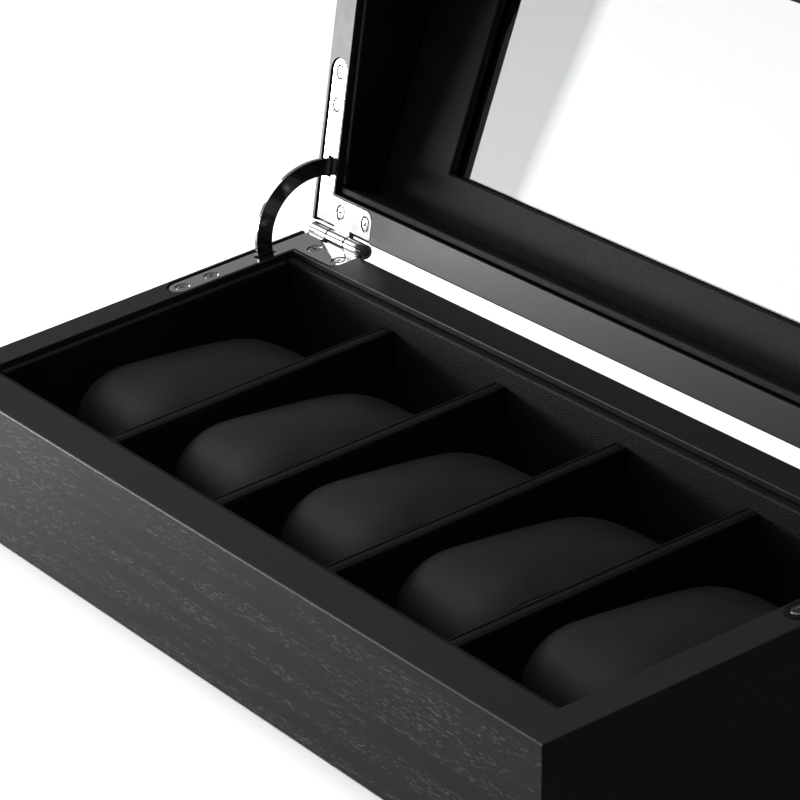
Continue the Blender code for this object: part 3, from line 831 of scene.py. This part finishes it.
def make_pillows():
    rows, caps = pillow_rows()
    rows, caps = puff(rows, caps)
    rows = sew(rows)
    mesh = make_mesh("pillow", mesh_of_rows(rows, caps), [PILLOW_LEATHER])
    mesh.shade_smooth()
    for i in range(BAYS):
        middle = (-INNER_X + BAY_WIDTH / 2 + i * PITCH) * MM
        place = Matrix.Translation((middle, 0, 0)) @ Matrix.Rotation(math.radians(PILLOW_TILTS[i]), 4, "Z")
        obj = show(f"watch_pillow_{i + 1}", mesh, place)
        smooth = obj.modifiers.new("smooth", "SUBSURF")
        smooth.levels = 1
        smooth.render_levels = 1
        settle(obj, f"cushion_{i + 1}", "black_leather", f"cushion_{i + 1}")


make_pillows()


# ---- pieces kept from the frame -----------------------------------------------------------------
KEPT = {"base_felt_pad": FELT, "base_bottom_panel": LACQUER, "floor_liner": LINING_LEATHER,
        "glass_pane": GLASS_WITH_PAINTED_SHADE}
for node, material in KEPT.items():
    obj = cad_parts[node]
    for slot in obj.material_slots:
        slot.material = material


# ---- studio -------------------------------------------------------------------------------------
def make_floor():
    """A white sweep under and behind the box."""
    size = 3.0
    mesh = bpy.data.meshes.new("sweep")
    corners = [(x, y, 0) for x, y in rectangle(-size, -size, size, size)]
    mesh.from_pydata(corners, [], [(0, 1, 2, 3)])
    material, tree, shader = new_finish("white_paper", Base_Color=srgb("f2f2f2"), Roughness=0.9)
    mesh.materials.append(material)
    floor = show("floor", mesh)
    floor.visible_glossy = False
    floor.visible_shadow = False


def make_light(name, place, target, wide, tall, power, shiny=True):
    data = bpy.data.lights.new(name, "AREA")
    data.shape = "RECTANGLE"
    data.size, data.size_y = wide, tall
    data.energy = power
    light = bpy.data.objects.new(name, data)
    bpy.context.collection.objects.link(light)
    light.location = place
    light.rotation_euler = (Vector(target) - Vector(place)).to_track_quat("-Z", "Y").to_euler()
    light.visible_camera = False
    light.visible_glossy = shiny


def product(tree, first, second):
    return add(tree, "Math", {0: first, 1: second}, operation="MULTIPLY").outputs[0]


def between(tree, value, low, high, soft):
    """One inside a range and zero outside it, with soft edges."""
    rise = add(tree, "MapRange", {"Value": value, "From Min": low - soft, "From Max": low + soft})
    fall = add(tree, "MapRange", {"Value": value, "From Min": high + soft, "From Max": high - soft})
    return product(tree, rise.outputs[0], fall.outputs[0])


# The softbox stands at the left front, and this is the direction square to its upright edge.
BOX_EDGE = (-0.5926, 0.7914, -0.1501)
BOX_SPAN, BOX_HEIGHTS = (-0.1, 0.0), (0.04, 0.22)
TABLE_HEIGHTS = (-0.26, -0.02)
SOFTBOX, TABLE, ROOM_LEFT, ROOM_RIGHT = 4.2, 0.85, 0.24, 0.03


def light_studio():
    """A dim room with a bright table top and a big softbox at the left front, which the polished
    pieces and the glass pick up, a small key close to the left end, and a broad top light."""
    world = bpy.data.worlds.new("studio")
    bpy.context.scene.world = world
    world.use_nodes = True
    tree = world.node_tree
    seen = add(tree, "LightPath").outputs["Is Camera Ray"]
    direction = add(tree, "TexCoord").outputs["Generated"]
    way = add(tree, "SeparateXYZ", {0: direction})
    height = way.outputs["Z"]
    fade = add(tree, "MapRange", {"Value": way.outputs["X"], "From Min": -0.9, "From Max": 0.5,
                                  "To Min": ROOM_LEFT, "To Max": ROOM_RIGHT}).outputs[0]
    left = add(tree, "MapRange", {"Value": way.outputs["X"], "From Min": -0.5, "From Max": -0.7}).outputs[0]
    table = product(tree, between(tree, height, *TABLE_HEIGHTS, 0.03), left)
    across = add(tree, "VectorMath", {0: direction, 1: BOX_EDGE}, operation="DOT_PRODUCT").outputs["Value"]
    box = product(tree, between(tree, across, *BOX_SPAN, 0.002), between(tree, height, *BOX_HEIGHTS, 0.02))
    box = product(tree, product(tree, box, left), SOFTBOX)
    room = add(tree, "Math", {0: product(tree, table, TABLE), 1: fade}, operation="ADD").outputs[0]
    lit = add(tree, "Math", {0: box, 1: room}, operation="ADD").outputs[0]
    level = add(tree, "Mix", {"Factor": seen, "A": lit, "B": srgb("ffffff")}, data_type="RGBA")
    tree.links.new(level.outputs["Result"], tree.nodes["Background"].inputs["Color"])
    make_light("overhead", (-0.1, 0.0, 1.3), (0, 0, 0), 1.7, 1.7, 42, shiny=False)
    make_light("key_left", (-1.32, -0.36, 0.3), (0, 0, 0.05), 0.4, 1.5, 5)
    make_light("near_left", (-0.62, -0.25, 0.05), (-0.1, -0.05, 0.03), 0.3, 0.1, 1.9)


def place_camera():
    data = bpy.data.cameras.new("camera")
    data.sensor_width = 36.0
    data.lens = 196.5
    data.clip_start = 0.01
    camera = bpy.data.objects.new("camera", data)
    bpy.context.collection.objects.link(camera)
    camera.location = (0.8804, -0.5397, 0.4126)
    camera.rotation_euler = (math.radians(71.33), 0, math.radians(58.58))
    bpy.context.scene.camera = camera
    bpy.context.scene.view_settings.view_transform = "Standard"


make_floor()
light_studio()
place_camera()
